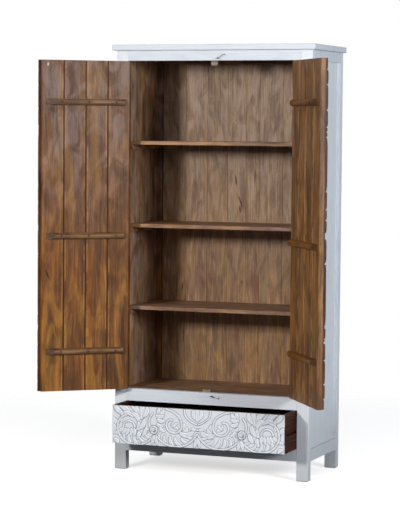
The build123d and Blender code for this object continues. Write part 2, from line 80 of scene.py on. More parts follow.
def newMaterial(name, roughness, ior=None, sheen=0.5):
    material = bpy.data.materials.new(name)
    material.use_nodes = True
    tree = material.node_tree
    shader = tree.nodes["Principled BSDF"]
    shader.inputs["Roughness"].default_value = roughness
    if ior:
        shader.inputs["IOR"].default_value = ior
    shader.inputs["Specular IOR Level"].default_value = sheen
    return material, tree, shader


def dress(tree, shader, look, colour, height):
    # colour and bump on a shader; the look's depth is in mm
    bump = addNode(tree, "Bump", {}, Strength=look["bump"], Distance=look["depth"] * mm, Height=height)
    tree.links.new(colour, shader.inputs["Base Color"])
    tree.links.new(bump, shader.inputs["Normal"])


def inMillimetres(tree, look):
    # object coordinates in mm, from the hinge line and along the door where the wood belongs to a turned door
    place = addNode(tree, "TexCoord", {}).node.outputs["Object"]
    turned = addNode(tree, "Mapping", {"vector_type": "TEXTURE"}, Vector=place,
                     Location=look.get("place", (0, 0, 0)), Rotation=(0, 0, look.get("turn", 0.0)))
    return addNode(tree, "Mapping", {}, Vector=turned, Scale=(1 / mm, 1 / mm, 1 / mm))


def grainClouds(tree, axes, size, detail=3.0, roughness=0.55, distortion=0.0):
    # soft patches, their size in mm across, through and along the grain
    parts = [addNode(tree, "Math", divide, axis, reach) for axis, reach in zip(axes, size)]
    return addNode(tree, "TexNoise", {}, Vector=addNode(tree, "CombineXYZ", {}, *parts),
                   Scale=1.0, Detail=detail, Roughness=roughness, Distortion=distortion)


woodPatterns = {
    "sway": {"size": (170, 170, 520), "detail": 2.0},
    "figure": {"detail": 5.0, "roughness": 0.62},
    "patch": {"size": (64, 64, 330), "distortion": 1.2},
    "haze": {"detail": 4.0, "distortion": 0.9},
    "streak": {"size": (3.4, 3.4, 190)},
    "glint": {"size": (2.6, 2.6, 130), "detail": 2.0},
    "pores": {"size": (1.3, 1.3, 15), "detail": 2.0, "roughness": 0.7},
}
# where a pattern starts and ends to bring in its tone, and then the share or shade at both ends
woodBands = {
    "sway": (0.2, 0.8), "middle": (0.36, 0.54), "light": (0.52, 0.68), "gold": (0.46, 0.66),
    "red": (0.50, 0.30), "paintedSheen": (0.38, 0.62, 0.35, 1.0), "glint": (0.56, 0.70), "streak": (0.34, 0.66),
    "haze": (0.32, 0.66),
    "poreShade": (0.36, 0.52, 0.8, 1.0), "streakHeight": (0.34, 0.66, 0.8, 1.0), "mark": (1.0, 0.3),
    "raggedEdge": (0.3, 0.7, -0.3, 0.3), "paintedHighlightPatch": (0.40, 0.56), "paintedHighlightBoard": (0.25, 0.75),
}
# the same for what lies along a joint between boards, in mm from the joint
jointBands = {"dirt": (1.0, 6.5), "paintedHighlightFrom": (4.0, 5.5), "paintedHighlightTo": (10.0, 6.0)}
farFromJoints = 1000.0
boardShift = 3100.0  # how far apart in the tree two boards may come from, in mm


def woodPattern(tree, look):
    # Mango wood, planed and oiled: brown and gold figure in soft patches, fine pores, dirt in the joints, a
    # painted highlight beside them and a painted grey sheen.
    # The pores are drawn about three times too coarse, so that they show. Gives back colour and height.
    x, y, z = addNode(tree, "SeparateXYZ", {}, inMillimetres(tree, look)).node.outputs
    across, along, third = {"x": (z, x, y), "y": (z, y, x), "z": (x, z, y)}[look["grain"]]
    board, near = look["seed"], farFromJoints
    for seam in look["seams"]:
        board = addNode(tree, "Math", add, board, addNode(tree, "Math", greater, across, seam))
        away = addNode(tree, "Math", absolute, addNode(tree, "Math", subtract, across, seam))
        near = addNode(tree, "Math", least, near, away)
    chance = addNode(tree, "TexWhiteNoise", {"noise_dimensions": "1D"}, W=board)
    tone, hue, paintedHighlightChance = addNode(tree, "SeparateColor", {}, chance.node.outputs["Color"]).node.outputs
    # each board has its own place in the tree, and its grain wanders
    start = addNode(tree, "Math", add, across, addNode(tree, "Math", multiply, chance, boardShift))
    wander = grainClouds(tree, (start, third, along), **woodPatterns["sway"])
    wander = addNode(tree, "MapRange", straight, wander, *woodBands["sway"], -look["sway"], look["sway"])
    axes = (addNode(tree, "Math", add, start, wander), third, along)
    figure = grainClouds(tree, axes, look["figureSize"], **woodPatterns["figure"])
    haze = grainClouds(tree, axes, look["hazeSize"], **woodPatterns["haze"])
    patch, streak, glint, pores = (
        grainClouds(tree, axes, **woodPatterns[name]) for name in ("patch", "streak", "glint", "pores"))
    colour = look["dark"]
    for pattern, name, share in ((figure, "middle", 1.0), (figure, "light", 1.0),
                                 (patch, "gold", look["goldShare"]), (patch, "red", look["redShare"])):
        share = addNode(tree, "MapRange", smooth, pattern, *woodBands[name], 0.0, share)
        colour = addNode(tree, "Mix", blend, share, colour, look[name])
    redBoard = addNode(tree, "MapRange", straight, hue, 0.0, 1.0, 0.0, look["hueShare"])
    colour = addNode(tree, "Mix", blend, redBoard, colour, look["red"])
    # painted sheen: a grey haze in soft patches whose share changes with height, mostly greyer towards the
    # top
    paintedSheen = addNode(tree, "MapRange", smooth, z, *look["paintedSheenRise"], look["paintedSheenLow"], look["paintedSheenHigh"])
    patchy = addNode(tree, "MapRange", smooth, haze, *woodBands["paintedSheen"])
    paintedSheen = addNode(tree, "Math", multiply, paintedSheen, patchy)
    colour = addNode(tree, "Mix", blend, paintedSheen, colour, look["paintedSheen"])
    glints = addNode(tree, "MapRange", smooth, glint, *woodBands["glint"], 0.0, look["glintShare"])
    colour = addNode(tree, "Mix", blend, glints, colour, look["glint"])
    deepest, lightest = 1 - look["streakDepth"], 1 + look["streakLift"] * look["streakDepth"]
    shade = addNode(tree, "MapRange", smooth, streak, *woodBands["streak"], deepest, lightest)
    poreShade = addNode(tree, "MapRange", smooth, pores, *woodBands["poreShade"])
    shade = addNode(tree, "Math", multiply, shade, poreShade)
    for kind, pattern, band, depth in ((smooth, haze, woodBands["haze"], look["hazeDepth"]),
                                       (straight, tone, (0.0, 1.0), look["toneSpread"])):
        part = addNode(tree, "MapRange", kind, pattern, *band, 1 - depth, 1 + depth)
        shade = addNode(tree, "Math", multiply, shade, part)
    if look["seams"]:
        # dirt lies in each joint, and beside it runs a patchy painted highlight, for the edges of the groove
        # catching the light
        dirt = addNode(tree, "MapRange", smooth, near, *jointBands["dirt"], look["jointDirt"], 0.0)
        colour = addNode(tree, "Mix", blend, dirt, colour, look["dirt"])
        rubAndPaintedHighlight = addNode(tree, "MapRange", smooth, near, *jointBands["paintedHighlightFrom"])
        for pattern, band in ((near, (*jointBands["paintedHighlightTo"], 0.0, look["paintedHighlightShare"])),
                              (haze, woodBands["paintedHighlightPatch"]),
                              (paintedHighlightChance, (*woodBands["paintedHighlightBoard"], look["paintedHighlightLow"], 1.0))):
            rubAndPaintedHighlight = addNode(tree, "Math", multiply, rubAndPaintedHighlight, addNode(tree, "MapRange", smooth, pattern, *band))
        colour = addNode(tree, "Mix", blend, rubAndPaintedHighlight, colour, look["rubAndPaintedHighlight"])
    colour = addNode(tree, "Mix", stain, 1.0, colour, addNode(tree, "CombineColor", {}, shade, shade, shade))
    for mark in look["marks"]:
        rise = addNode(tree, "Math", subtract, along, mark["at"][1])
        slant = addNode(tree, "Math", multiplyAdd, rise, mark["bow"], mark["lean"])
        middle = addNode(tree, "Math", multiplyAdd, rise, slant, mark["at"][0])
        aside = addNode(tree, "Math", subtract, across, middle)
        parts = [addNode(tree, "Math", divide, way, size) for way, size in zip((aside, rise), mark["size"])]
        reach = addNode(tree, "VectorMath", measure, addNode(tree, "CombineXYZ", {}, *parts))
        ragged = addNode(tree, "MapRange", straight, figure, *woodBands["raggedEdge"])
        reach = addNode(tree, "Math", add, reach, ragged)
        share = addNode(tree, "MapRange", smooth, reach, *woodBands["mark"], 0.0, mark["strength"])
        colour = addNode(tree, "Mix", blend, share, colour, mark["colour"])
    streakHeight = addNode(tree, "MapRange", smooth, streak, *woodBands["streakHeight"])
    return colour, addNode(tree, "Math", multiply, poreShade, streakHeight)


def oiledWood(name, look):
    # Old oil and wax on planed wood: a dull silk, not a gloss.
    material, tree, shader = newMaterial(name, look["roughness"], look["ior"], look["sheen"])
    dress(tree, shader, look, *woodPattern(tree, look))
    return material


hingeLine = {"left": (-0.381, -0.213, 0), "right": (0.381, -0.213, 0)}
openAngle = {"left": math.radians(-140.3), "right": math.radians(125.7)}
onDoor = {side: {"place": hingeLine[side], "turn": openAngle[side]} for side in ("left", "right")}
mango = {
    "grain": "z", "seams": (), "seed": 3.0, "marks": (), "sway": 14.0,
    "roughness": 0.5, "ior": 1.48, "sheen": 0.3, "bump": 0.5, "depth": 0.35,
    "dark": "#3F2106", "middle": "#683B0E", "light": "#824D16", "gold": "#885114", "red": "#4B240A",
    # the grey haze colour is a painted sheen
    "paintedSheen": "#6C5F5D", "glint": "#9B732F", "rubAndPaintedHighlight": "#9D7840", "dirt": "#4A240C",
    "goldShare": 0.75, "redShare": 0.6, "hueShare": 0.3, "glintShare": 0.35,
    "paintedSheenRise": (850.0, 1550.0), "paintedSheenLow": 0.0, "paintedSheenHigh": 0.7,
    "figureSize": (13, 13, 230), "hazeSize": (66, 66, 130),
    "streakDepth": 0.14, "streakLift": 0.6, "hazeDepth": 0.25, "toneSpread": 0.14,
    # dirt in the joints, and how much of the painted highlight beside them shows
    "jointDirt": 0.8, "paintedHighlightShare": 0.6, "paintedHighlightLow": 1.0,
}
# in mm, along the door from its hinge line or across the back from the middle, and up from the floor
doorSeams = (95.7, 190.5, 285.3)
backSeams = (-275, -173, -79, 6, 68, 173, 272)
knotColour, shakeColour, dullKnot, screwHole, slopeDirt, paleChip = (
    "#23150C", "#5C2519", "#3A2318", "#1E120B", "#35210F", "#CFC7BC")


def spindle(across, along, width, length, strength, colour, lean=0.0, bow=0.0):
    # a knot, a shake or a dark spot: a spindle along the grain that may lean and bow
    return {"at": (across, along), "size": (width, length), "lean": lean, "bow": bow,
            "strength": strength, "colour": colour}


doorKnots = (
    spindle(354, 838, 9, 34, 1.0, knotColour, lean=0.35, bow=-0.002),
    spindle(352, 872, 9, 26, 0.55, dullKnot, lean=-0.1),
    spindle(178, 975, 12, 20, 0.5, dullKnot, lean=0.2),
    spindle(338, 1528, 16, 20, 0.6, dullKnot),
    spindle(355, 1712, 4, 8, 0.9, paleChip),
)
backShakes = (
    spindle(-40, 1226, 6, 32, 0.95, shakeColour, lean=-0.12),
    spindle(-22, 1142, 6, 44, 1.0, shakeColour, lean=-0.45, bow=-0.003),
    spindle(-21, 1101, 6, 20, 0.95, shakeColour, lean=-0.22),
    spindle(46, 1240, 5, 48, 0.8, shakeColour, lean=0.02),
    spindle(-287, 758, 5, 32, 0.8, knotColour),
    spindle(-10, 785, 6, 14, 0.75, knotColour),
    spindle(-281, 540, 4, 44, 0.7, knotColour),
)
battens = {"levels": {"left": (1557, 1000, 516), "right": (1558, 989, 534)},
           "screws": (64, 183, 300), "slope": 341}


def battenMarks(side, way):
    # rust and dirt around each screw, and dirt on the sloped end
    marks = []
    for level in battens["levels"][side]:
        marks += [spindle(level, way * place, 7, 7, 0.85, screwHole) for place in battens["screws"]]
        marks.append(spindle(level, way * battens["slope"], 40, 30, 0.75, slopeDirt))
    return marks


woods = {
    "oiledMangoDoorLeft": {
        **mango, **onDoor["left"], "seams": doorSeams, "seed": 5.0, "sheen": 0.25, "marks": doorKnots,
        "dark": "#4B2909", "gold": "#8F5F22", "goldShare": 0.8, "figureSize": (19, 19, 290)},
    "oiledMangoDoorRight": {
        **mango, **onDoor["right"], "seams": tuple(-seam for seam in reversed(doorSeams)), "seed": 11.0,
        "dark": "#4D321B", "middle": "#7D583A", "light": "#99724D", "gold": "#91612B", "red": "#67412D",
        "dirt": "#2E170C", "rubAndPaintedHighlight": "#C39A5A", "paintedSheenHigh": 0.2, "jointDirt": 0.7, "paintedHighlightShare": 1.0,
        "glintShare": 0.6},
    "oiledMangoBack": {
        **mango, "seams": backSeams, "seed": 21.0, "marks": backShakes,
        "dark": "#7D5E46", "middle": "#927254", "light": "#AF8F68", "gold": "#A87E4B", "red": "#7A4B36",
        "paintedSheen": "#9E8A7C", "paintedSheenHigh": 0.75, "paintedSheenRise": (500.0, 1600.0),
        "glint": "#C4B08A", "glintShare": 0.5,
        "figureSize": (15, 15, 300), "hazeSize": (36, 36, 120), "hazeDepth": 0.21, "streakDepth": 0.16,
        "redShare": 0.8, "toneSpread": 0.07, "jointDirt": 0.0, "paintedHighlightShare": 0.8, "paintedHighlightLow": 0.0},
    "oiledMangoSide": {**mango, "seed": 31.0, "toneSpread": 0.12},
    # the side panels show on the inside as bands of brown and red
    "oiledMangoPanel": {
        **mango, "seed": 35.0,
        "dark": "#5F3F24", "middle": "#946D46", "light": "#B38855", "gold": "#B78541", "red": "#6E4533",
        "paintedSheen": "#968786", "paintedSheenLow": 0.5, "paintedSheenHigh": 0.35, "figureSize": (22, 22, 420),
        "redShare": 0.9, "hazeDepth": 0.3},
    "oiledMangoAcross": {
        **mango, "grain": "x", "seed": 41.0,
        "dark": "#654329", "middle": "#9E734C", "light": "#BF8F60", "gold": "#C38B47", "red": "#7A5144",
        "paintedSheen": "#948683", "paintedSheenLow": 0.35, "paintedSheenHigh": 0.2, "redShare": 0.8},
    "oiledMangoBattenLeft": {
        **mango, **onDoor["left"], "grain": "x", "seed": 51.0, "marks": battenMarks("left", 1),
        "dark": "#523723", "middle": "#785840", "light": "#917255", "gold": "#8D6434", "paintedSheenHigh": 0.15},
    "oiledMangoBattenRight": {
        **mango, **onDoor["right"], "grain": "x", "seed": 55.0, "marks": battenMarks("right", -1),
        "dark": "#54371F", "middle": "#7C5635", "light": "#956E47", "paintedSheenHigh": 0.15},
    # sawn edges of the carved panels, stained by the red oil
    "oiledMangoEdge": {
        **mango, "seed": 65.0, "sheen": 0.2, "paintedSheenHigh": 0.0,
        "dark": "#3C2014", "middle": "#533021", "light": "#63402E", "gold": "#5F3C25", "red": "#4C2213"},
    "oiledMangoDrawer": {
        **mango, "grain": "y", "seed": 61.0, "sheen": 0.05, "paintedSheenHigh": 0.0,
        "dark": "#210802", "middle": "#360F02", "light": "#451503", "gold": "#3B1202", "red": "#2B0B02"},
}
wood = {name: oiledWood(name, look) for name, look in woods.items()}

wash = {"wash": "#D2D8E2", "streak": "#C7CDD8", "thin": "#BFC4CE", "pore": "#948F89", "scuff": "#9EA0A6",
        "scuffShare": 0.6, "scuffTo": 420.0, "roughness": 0.62, "ior": 1.48, "bump": 0.35, "depth": 0.25}
washPatterns = {
    "streak": {"size": (3.2, 3.2, 130), "roughness": 0.6},
    "thin": {"size": (60, 60, 170), "detail": 4.0, "roughness": 0.6},
    "pore": {"size": (1.5, 1.5, 18), "detail": 2.0, "roughness": 0.7},
}
washBands = {"streak": (0.38, 0.66, 0.0, 0.6), "thin": (0.50, 0.72, 0.0, 0.5),
             "pore": (0.36, 0.28, 0.0, 0.35)}


def washPattern(tree, look):
    # Lime wash brushed over wood: a cool, chalky white, thinner along the grain and in soft patches, and
    # greyer towards the feet as a painted shade. Gives back colour and height.
    x, y, z = addNode(tree, "SeparateXYZ", {}, inMillimetres(tree, look)).node.outputs
    axes = (x, y, z) if look["grain"] == "z" else (z, y, x)
    clouds = {tone: grainClouds(tree, axes, **pattern) for tone, pattern in washPatterns.items()}
    colour = look["wash"]
    for tone, cloud in clouds.items():
        share = addNode(tree, "MapRange", smooth, cloud, *washBands[tone])
        colour = addNode(tree, "Mix", blend, share, colour, look[tone])
    # painted shade: the wash greys towards the feet
    paintedFootShading = addNode(tree, "MapRange", smooth, z, look["scuffTo"], 0.0, 0.0, look["scuffShare"])
    colour = addNode(tree, "Mix", blend, paintedFootShading, colour, look["scuff"])
    return colour, addNode(tree, "Math", add, clouds["streak"], clouds["pore"])


# the oiled part of a washed node, in mm: inside the side panels, behind the rails, in front of the back
# and over the floor
oiledRoom = {"halfWidth": 407.5, "front": -180.5, "back": 204.5, "bottom": 83.5, "top": 1777.0}
# the posts are oiled as far forward as the doors' reveal
reveal = {"halfWidth": 382.5, "forward": -29.0}


def washedWood(name, look, woodLook):
    # the same plank is washed outside and only oiled inside the case
    material, tree, shader = newMaterial(name, look["roughness"], look["ior"])
    washColour, height = washPattern(tree, look)
    woodColour = woodPattern(tree, woodLook)[0]
    x, y, z = addNode(tree, "SeparateXYZ", {}, inMillimetres(tree, look)).node.outputs
    aside = addNode(tree, "Math", absolute, x)
    front = oiledRoom["front"]
    if look.get("reveal"):
        besideDoor = addNode(tree, "Math", less, aside, reveal["halfWidth"])
        front = addNode(tree, "Math", multiplyAdd, besideDoor, reveal["forward"], front)
    inside = addNode(tree, "Math", less, aside, oiledRoom["halfWidth"])
    for axis, side, limit in ((y, greater, front), (y, less, oiledRoom["back"]),
                              (z, greater, oiledRoom["bottom"]), (z, less, oiledRoom["top"])):
        inside = addNode(tree, "Math", multiply, inside, addNode(tree, "Math", side, axis, limit))
    dress(tree, shader, look, addNode(tree, "Mix", blend, inside, washColour, woodColour), height)
    return material


# the posts and side panels have one more coat than the rails
uprightWash = {**wash, "grain": "z", "wash": "#DADFE7", "streak": "#CED3DD", "thin": "#C6CAD3"}
washedUpright = washedWood("limeWashedMangoUpright", {**uprightWash, "reveal": True}, woods["oiledMangoSide"])
washedPanel = washedWood("limeWashedMangoPanel", uprightWash, woods["oiledMangoPanel"])
washedAcross = washedWood("limeWashedMangoAcross", {**wash, "grain": "x"}, woods["oiledMangoAcross"])


def carvedWash(name, look):
    # Carved mango wood under lime wash, darker with depth: painted shade greys the sunk ground and darkens
    # the cuts, which keep dust and bare wood too; the crests stay white.
    material, tree, shader = newMaterial(name, look["roughness"], look["ior"])
    colour, height = washPattern(tree, look)
    carved = addNode(tree, "Attribute", {"attribute_name": "carvedHeight"}).node.outputs["Fac"]
    lighterPart = addNode(tree, "MapRange", smooth, carved, look["groundAt"], look["crestAt"])
    colour = addNode(tree, "Mix", blend, lighterPart, look["ground"], colour)
    dustAndPaintedShadeInCut = addNode(tree, "MapRange", smooth, carved, look["groundAt"], look["cutAt"])
    dress(tree, shader, look, addNode(tree, "Mix", blend, dustAndPaintedShadeInCut, colour, look["cut"]), height)
    return material


iron = {"rubAndPaintedHighlight": {"size": (3, 3, 3), "roughness": 0.6}, "rubBand": (0.45, 0.72), "bump": 0.2, "depth": 0.1}


def ironware(name, look):
    # Wire and sheet metal with a dull skin that is rubbed bright in spots.
    material, tree, shader = newMaterial(name, look["roughness"])
    axes = addNode(tree, "SeparateXYZ", {}, inMillimetres(tree, look)).node.outputs
    rubAndPaintedHighlight = grainClouds(tree, axes, **look["rubAndPaintedHighlight"])
    share = addNode(tree, "MapRange", smooth, rubAndPaintedHighlight, *look["rubBand"])
    dress(tree, shader, look, addNode(tree, "Mix", blend, share, look["skin"], look["lighterPart"]), rubAndPaintedHighlight)
    shader.inputs["Metallic"].default_value = look["metallic"]
    return material


blackIron = ironware("blackenedIron", {
    **iron, "skin": "#24211E", "lighterPart": "#4A443C", "roughness": 0.5, "metallic": 0.7})
rustedScrew = ironware("rustedIronScrew", {
    **iron, "skin": "#1A120C", "lighterPart": "#2C2018", "roughness": 0.7, "metallic": 0.0})
zincWire = ironware("zincPlatedWire", {
    **iron, "skin": "#56595C", "lighterPart": "#A0A3A5", "roughness": 0.35, "metallic": 1.0})
bareMango = oiledWood("bareMangoBlock", {
    **mango, "seed": 71.0, "dark": "#866A50", "middle": "#9E8770", "light": "#A99687",
    "gold": "#997B59", "red": "#866A57", "paintedSheen": "#9D9190"})

# the first start that a node's name has decides its finish
finishes = {
    "door_boards_left": wood["oiledMangoDoorLeft"], "door_boards_right": wood["oiledMangoDoorRight"],
    "door_screws": rustedScrew, "door_stop": bareMango,
    "hinge": blackIron, "hook": zincWire, "catch": zincWire,
    "drawer_runner": wood["oiledMangoSide"], "drawer_knobs": washedUpright,
    "drawer": wood["oiledMangoDrawer"],
    "shelf": wood["oiledMangoAcross"], "cupboard": wood["oiledMangoAcross"],
    "back_boards": wood["oiledMangoBack"], "post": washedUpright, "side_panel": washedPanel, "": washedAcross,
}


def finishFor(name):
    if name.startswith("batten"):
        return wood["oiledMangoBatten" + name.split("_")[-1].capitalize()]
    return next(finish for start, finish in finishes.items() if name.startswith(start))


for name, node in nodes.items():
    for slot in node.material_slots:
        slot.material = finishFor(name)
print("finishes on the frame's nodes")


def smoothPath(points, step):
    # an even walk along a curve through the points; a point is across + up * 1j, in mm
    points = [complex(*point) for point in points]
    knots = [2 * points[0] - points[1], *points, 2 * points[-1] - points[-2]]
    walk = []
    for a, b, c, d in zip(knots, knots[1:], knots[2:], knots[3:]):
        bend, twist = 2 * a - 5 * b + 4 * c - d, 3 * b - a - 3 * c + d
        count = max(2, int(abs(c - b) / step) + 1)
        for number in range(count):
            t = number / count
            walk.append(0.5 * (2 * b + (c - a) * t + bend * t ** 2 + twist * t ** 3))
    return walk + [points[-1]]


def scrollPath(middle, outer, inner, start, turns, step):
    # winds in around the middle from a start in degrees; turns below zero go clockwise
    count = max(8, int(math.pi * (outer + inner) * abs(turns) / step))
    path = []
    for number in range(count + 1):
        radius = outer + (inner - outer) * number / count
        path.append(middle + cmath.rect(radius, math.radians(start + 360 * turns * number / count)))
    return path


def newRelief(look):
    columns, rows = round(look["width"] / look["cell"]), round(look["height"] / look["cell"])
    return {**look, "columns": columns, "rows": rows,
            "x": np.linspace(-look["width"] / 2, look["width"] / 2, columns + 1),
            "z": np.linspace(-look["height"] / 2, look["height"] / 2, rows + 1),
            "level": np.full((rows + 1, columns + 1), float(look["ground"]))}


# the section of a raised stroke in shares of its half width or height, and a leaf's outline along its length
strokeForm = {"shoulder": 1.5, "hollowStart": 0.45, "hollowPower": 1.5, "foot": 0.35}
leafForm = {"fullest": 0.45, "root": 0.4, "tip": 0.15, "end": 1.12, "power": 0.7, "hollow": 0.3, "taper": 0.3}


def carve(relief, path, width, crest, hollow, cut):
    # One raised stroke in a cut of its own, round on top or dished by hollow. Half width and crest are
    # values or functions of the way along, from 0 to 1.
    x, z, level, moat = (relief[key] for key in ("x", "z", "level", "moat"))
    edge, wide, tall = (np.full(level.shape, start) for start in (1e3, 1.0, 0.0))
    for number, point in enumerate(path):
        way = number / max(len(path) - 1, 1)
        half = width(way) if callable(width) else width
        left, right = np.searchsorted(x, (point.real - half - moat, point.real + half + moat))
        low, high = np.searchsorted(z, (point.imag - half - moat, point.imag + half + moat))
        if left == right or low == high:
            continue
        patch = (slice(low, high), slice(left, right))
        away = np.hypot(x[None, left:right] - point.real, z[low:high, None] - point.imag) - half
        nearer = away < edge[patch]
        edge[patch][nearer] = away[nearer]
        wide[patch][nearer] = half
        tall[patch][nearer] = crest(way) if callable(crest) else crest
    inside, around = edge < 0, (edge >= 0) & (edge < moat)
    inner = np.clip(-edge / wide, 0, 1)
    rise = np.sqrt(1 - (1 - np.clip(inner * strokeForm["shoulder"], 0, 1)) ** 2)
    dish = np.clip((inner - strokeForm["hollowStart"]) / (1 - strokeForm["hollowStart"]), 0, 1)
    rise = rise - hollow * dish ** strokeForm["hollowPower"]
    base = cut + (relief["ground"] - cut) * strokeForm["foot"]
    level[inside] = (base + (tall - base) * rise)[inside]
    level[around] = np.minimum(level, cut + (level - cut) * (edge / moat) ** 2)[around]


def stroke(relief, path, width, crest, hollow=0.0, pair=False, cut=None):
    # a stroke, and its mirror image where it is one of a pair
    cut = relief["cut"] if cut is None else cut
    carve(relief, path, width, crest, hollow, cut)
    if pair:
        carve(relief, [-point.conjugate() for point in path], width, crest, hollow, cut)


def leafWidth(half):
    # narrow at its root, fullest part way and round at its tip
    fullest, root = leafForm["fullest"], leafForm["root"]

    def profile(way):
        if way < fullest:
            return half * (root + (1 - root) * math.sin(math.pi / 2 * way / fullest))
        closing = math.cos(math.pi / 2 * (way - fullest) / (leafForm["end"] - fullest))
        return half * max(leafForm["tip"], closing ** leafForm["power"])
    return profile


def leaf(relief, root, heading, length, half, curl, pair=False):
    # a lobe that leaves its root at heading degrees and turns by curl degrees to its tip
    count = max(6, int(length / relief["step"]))
    path = [root]
    for number in range(count):
        turned = math.radians(heading + curl * (number + 0.5) / count)
        path.append(path[-1] + cmath.rect(length / count, turned))
    stroke(relief, path, leafWidth(half), relief["leafCrest"], leafForm["hollow"], pair, relief["leafCut"])


def frond(relief, stem, side, lobes, length, half, lean, curl, start, end, pair=False):
    # lobes that grow from one side of a stem, one over another, the last one first
    last = lobes - 1
    for number in reversed(range(lobes)):
        place = int((start + (end - start) * number / last) * (len(stem) - 2))
        heading = math.degrees(cmath.phase(stem[place + 1] - stem[place])) + side * lean
        size = 1 - leafForm["taper"] * abs(2 * number / last - 1)
        leaf(relief, stem[place], heading, length * size, half * size, side * curl, pair)


def reliefBoard(name, relief, thickness, place, finishes):
    # A board whose face is the relief: local x across, y up, z out of the face. Place puts it in the frame,
    # and the finishes are the face's and the sawn wood's.
    faceSlot, sawnSlot = 0, 1
    columns, rows, level = relief["columns"], relief["rows"], relief["level"]
    width, height = relief["width"] * mm, relief["height"] * mm
    bm = bmesh.new()
    bmesh.ops.create_grid(bm, x_segments=columns, y_segments=rows, size=0.5)
    bmesh.ops.scale(bm, vec=(width, height, 1), verts=bm.verts)
    carvedHeight = bm.verts.layers.float.new("carvedHeight")
    for vert in bm.verts:
        column = round((vert.co.x / width + 0.5) * columns)
        row = round((vert.co.y / height + 0.5) * rows)
        vert[carvedHeight] = level[row, column]
        vert.co.z = level[row, column] * mm
    rim = [edge for edge in bm.edges if edge.is_boundary]
    walls = bmesh.ops.extrude_edge_only(bm, edges=rim)["geom"]
    for vert in (item for item in walls if isinstance(item, bmesh.types.BMVert)):
        vert.co.z = -thickness * mm
    back = bmesh.ops.contextual_create(bm, geom=[edge for edge in bm.edges if edge.is_boundary])["faces"]
    for face in [item for item in walls if isinstance(item, bmesh.types.BMFace)] + back:
        face.material_index = sawnSlot
    bm.transform(place)
    bmesh.ops.recalc_face_normals(bm, faces=bm.faces)
    mesh = bpy.data.meshes.new(name)
    bm.to_mesh(mesh)
    bm.free()
    for face in mesh.polygons:
        face.use_smooth = face.material_index == faceSlot
    piece = bpy.data.objects.new(name, mesh)
    scene.collection.objects.link(piece)
    for finish in finishes:
        mesh.materials.append(finish)
    return piece


# Drawer front: a heart between two pairs of scrolls with curled leaves. In mm, across from the middle and up
# from the floor.
drawerCarving = {
    "width": 760.0, "height": 160.0, "cell": 1.25, "face": -0.360, "middle": 214.5, "back": 22.0,
    "ground": -1.5, "cut": -3.6, "leafCut": -3.1, "moat": 2.4, "step": 1.5,
    "bandHalf": 4.3, "bandCrest": 2.0, "bandHollow": 0.35, "leafCrest": 2.1,
    "heartHalf": 3.6, "heartHollow": 0.3, "dot": (0, 210), "dotHalf": 5,
    # the ground and cut colours are painted shade down in the carving, with dust in the cuts too
    "washed": {**wash, "grain": "x", "wash": "#D6DBE2", "streak": "#CCD1DB", "thin": "#C0C5CD",
               "scuffShare": 0.0, "ground": "#D0D4DC", "cut": "#3E3A37",
               "cutAt": -3.2, "groundAt": -1.7, "crestAt": 0.6},
}
drawerStems = {
    "inner": ((0, 193), (16, 171), (40, 151), (68, 139), (98, 135), (135, 141),
              (162, 156), (190, 181), (208, 202), (214, 226), (212, 248), (200, 268)),
    "volute": ((150, 294), (110, 281), (84, 264), (71, 240), (70, 217), (80, 200),
               (99, 192), (120, 196), (134, 210), (137, 227), (128, 243), (112, 246)),
    "outer": ((190, 181), (204, 164), (224, 147), (250, 136), (280, 133), (313, 140),
              (337, 157), (352, 180), (357, 205), (352, 228), (338, 246), (316, 256)),
}
drawerHeart = ((4, 232), (30, 245), (50, 262), (57, 280), (56, 302))
# root, heading, length, half width and curl of each curled leaf on the right half, the lowest one first
drawerLeaves = (
    ((372, 300), 250, 60, 12, -50), ((384, 240), 200, 34, 10, 60), ((378, 176), 120, 44, 11, -60),
    ((372, 150), 180, 24, 9, 70), ((350, 296), 195, 66, 13, 50), ((300, 300), 200, 66, 13, 60),
    ((256, 300), 225, 60, 13, 80), ((224, 292), 262, 44, 11, 60), ((332, 262), 160, 50, 10, 70),
    ((292, 262), 180, 46, 11, 90), ((262, 226), 240, 34, 10, 90), ((238, 240), 265, 44, 11, 60),
    ((262, 188), 250, 30, 10, 60), ((228, 206), 270, 36, 10, 50), ((340, 226), 70, 26, 8, 60),
    ((170, 292), 290, 42, 10, -60), ((150, 286), 285, 46, 10, 50), ((176, 262), 210, 34, 9, 70),
    ((150, 262), 320, 34, 9, 80), ((148, 240), 330, 32, 9, 90), ((152, 216), 340, 30, 8, 90),
    ((146, 196), 0, 28, 8, 90), ((60, 232), 250, 40, 9, 50), ((46, 216), 275, 40, 10, 60),
    ((18, 204), 300, 66, 12, 100),
)
drawerFronds = (
    ("inner", {"side": 1, "lobes": 6, "length": 54, "half": 8.5, "lean": 20, "curl": 85,
               "start": 0.06, "end": 0.60}),
    ("outer", {"side": 1, "lobes": 6, "length": 48, "half": 8, "lean": 22, "curl": 80,
               "start": 0.06, "end": 0.64}),
    ("outer", {"side": -1, "lobes": 3, "length": 34, "half": 10, "lean": 36, "curl": 60,
               "start": 0.66, "end": 0.92}),
)
# the ring that the outer scroll winds round, and the rippled leaf across it
drawerRing = {"middle": (305, 205), "radius": 26, "sweep": (-30, 215, 3), "half": 4, "hollow": 0.2}
ringLeaves = (((282, 200), 250, 30, 8, 35), ((294, 200), 262, 30, 8, 35), ((307, 200), 275, 30, 8, 35),
              ((320, 200), 288, 28, 8, 35), ((332, 200), 305, 24, 8, 35))
voluteLeaves = (((106, 216), 175, 20, 7, 40), ((106, 216), 60, 18, 7, 40), ((106, 216), 115, 24, 7, 40))
